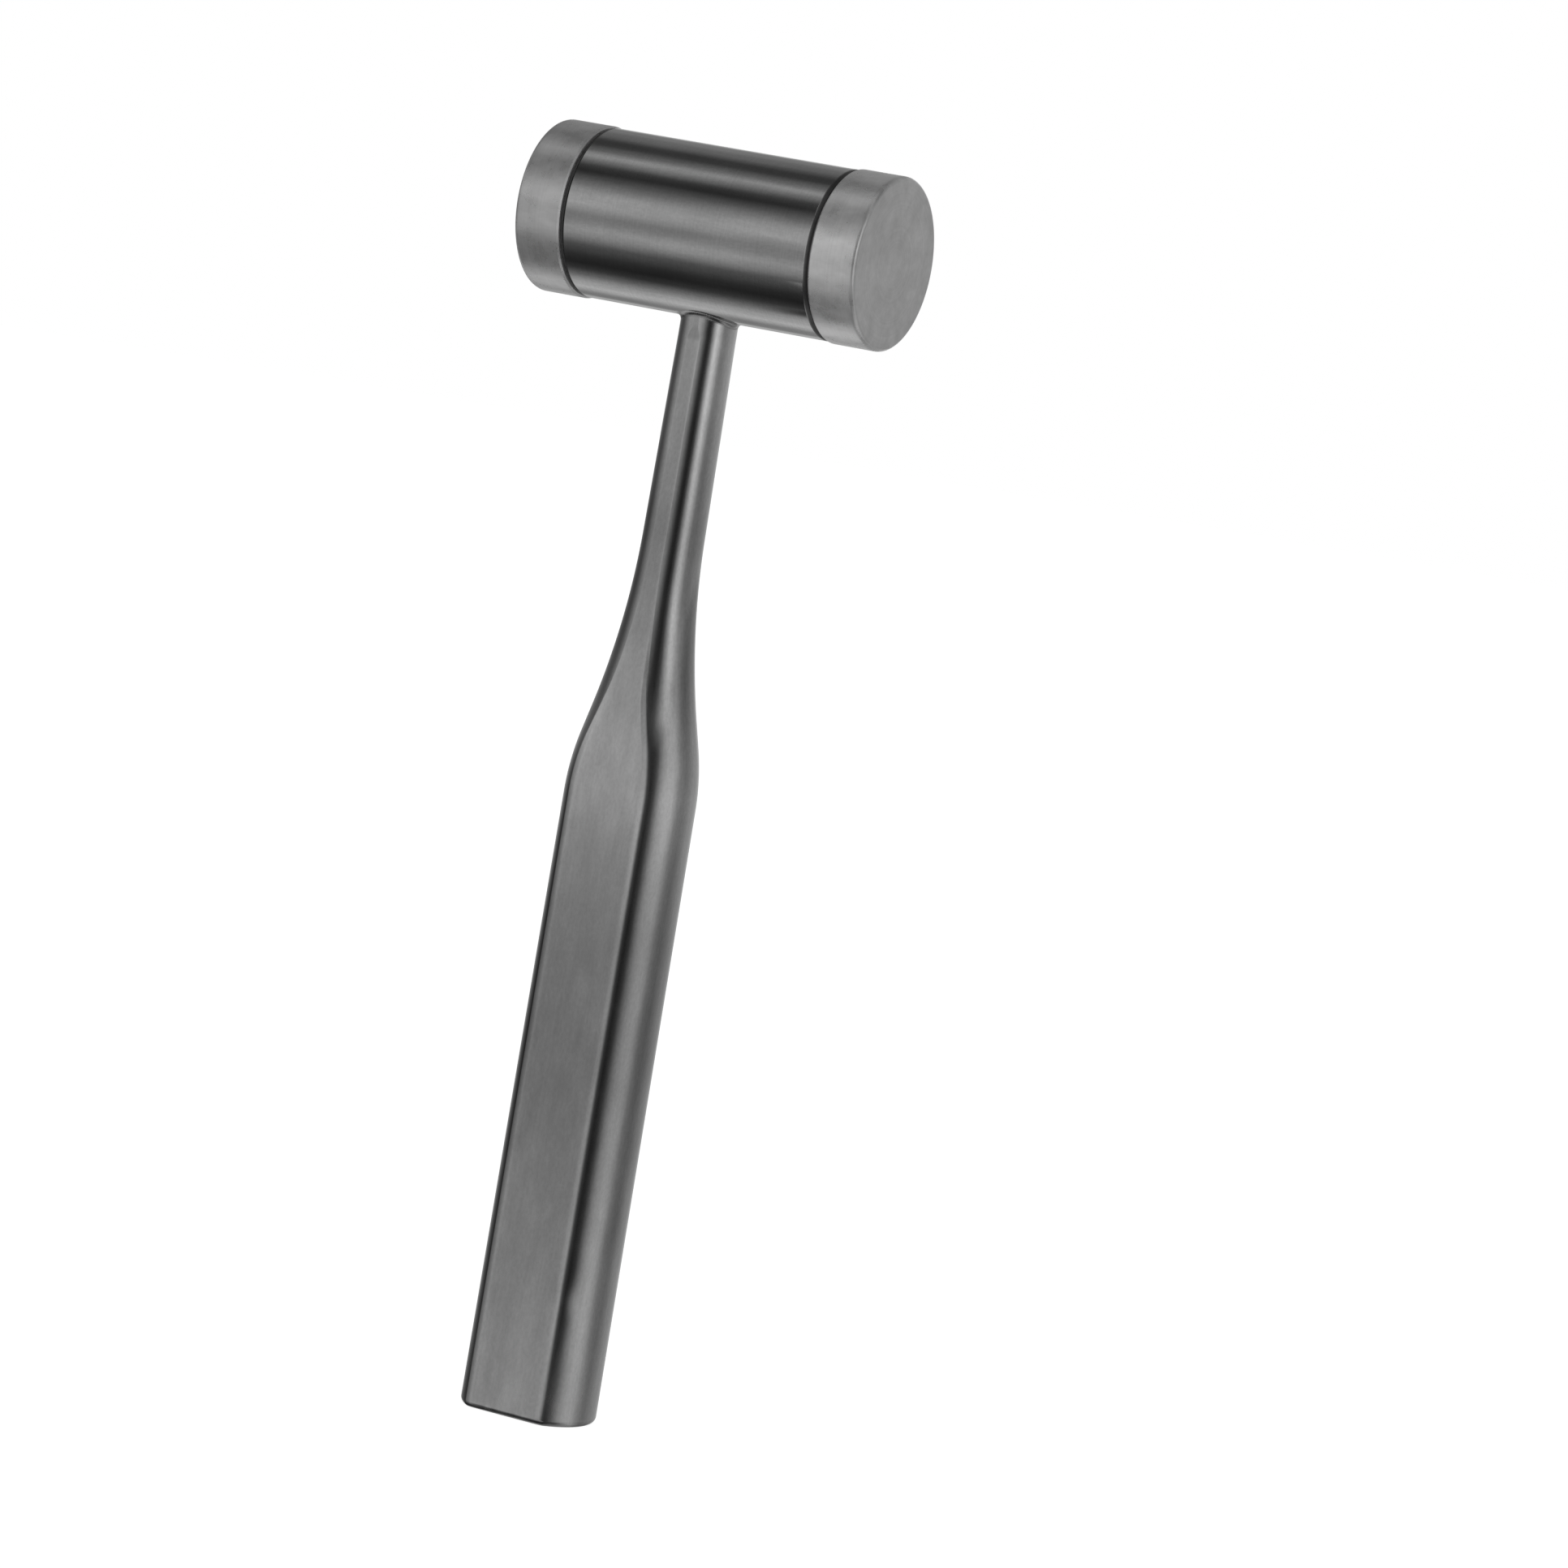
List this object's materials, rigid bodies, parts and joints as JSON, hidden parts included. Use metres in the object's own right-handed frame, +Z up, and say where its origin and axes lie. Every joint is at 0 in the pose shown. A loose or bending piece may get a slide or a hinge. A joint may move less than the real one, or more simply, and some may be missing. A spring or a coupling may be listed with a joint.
{
  "type": "bone mallet",
  "caption": "Surgical bone mallet: steel barrel head with screw-on soft-metal striking caps, on a one-piece steel handle with two flats.",
  "frame": {"origin": "centre of the butt's flat end, on the handle's axis, which the mallet stands on", "axes": "+Z up the handle to the head; +X along the head's axis to the right-hand cap; +Y to the back, square to the handle's flats"},
  "size_m": [0.055, 0.025, 0.185],
  "materials": {
    "handle_steel": "satin stainless steel, fine blasted grain, burnished edges",
    "barrel_steel": "polished stainless steel",
    "cap_aluminium": "satin turned aluminium",
    "seal_rubber": "dark elastomer",
    "stud_steel": "machined stainless steel",
    "braze_metal": "blended silver braze"
  },
  "bodies": {
    "mallet": {"handle": "handle_steel", "head_barrel": "barrel_steel", "neck_braze_fillet": "braze_metal", "tenon_lock_pin": "stud_steel"},
    "right_ring": {"right_seal_ring": "seal_rubber"},
    "right_cap": {"right_cap": "cap_aluminium", "right_cap_stud": "stud_steel"},
    "left_ring": {"left_seal_ring": "seal_rubber"},
    "left_cap": {"left_cap": "cap_aluminium", "left_cap_stud": "stud_steel"}
  },
  "joints": [
    {"name": "right_ring_slide", "type": "slide", "parent": "mallet", "child": "right_ring", "axis": [1, 0, 0], "range_m": [0, 0.0081]},
    {"name": "right_cap_screw", "type": "hinge", "parent": "right_ring", "child": "right_cap", "pos_m": [0.0202, 0, 0.1725], "axis": [1, 0, 0], "range_deg": [0, 1440]},
    {"name": "left_ring_slide", "type": "slide", "parent": "mallet", "child": "left_ring", "axis": [-1, 0, 0], "range_m": [0, 0.0081]},
    {"name": "left_cap_screw", "type": "hinge", "parent": "left_ring", "child": "left_cap", "pos_m": [-0.0202, 0, 0.1725], "axis": [-1, 0, 0], "range_deg": [0, 1440]}
  ],
  "couplings": [
    {"joint": "right_ring_slide", "follows": "right_cap_screw", "m_per_rad": 0.00031831},
    {"joint": "left_ring_slide", "follows": "left_cap_screw", "m_per_rad": 0.00031831}
  ]
}
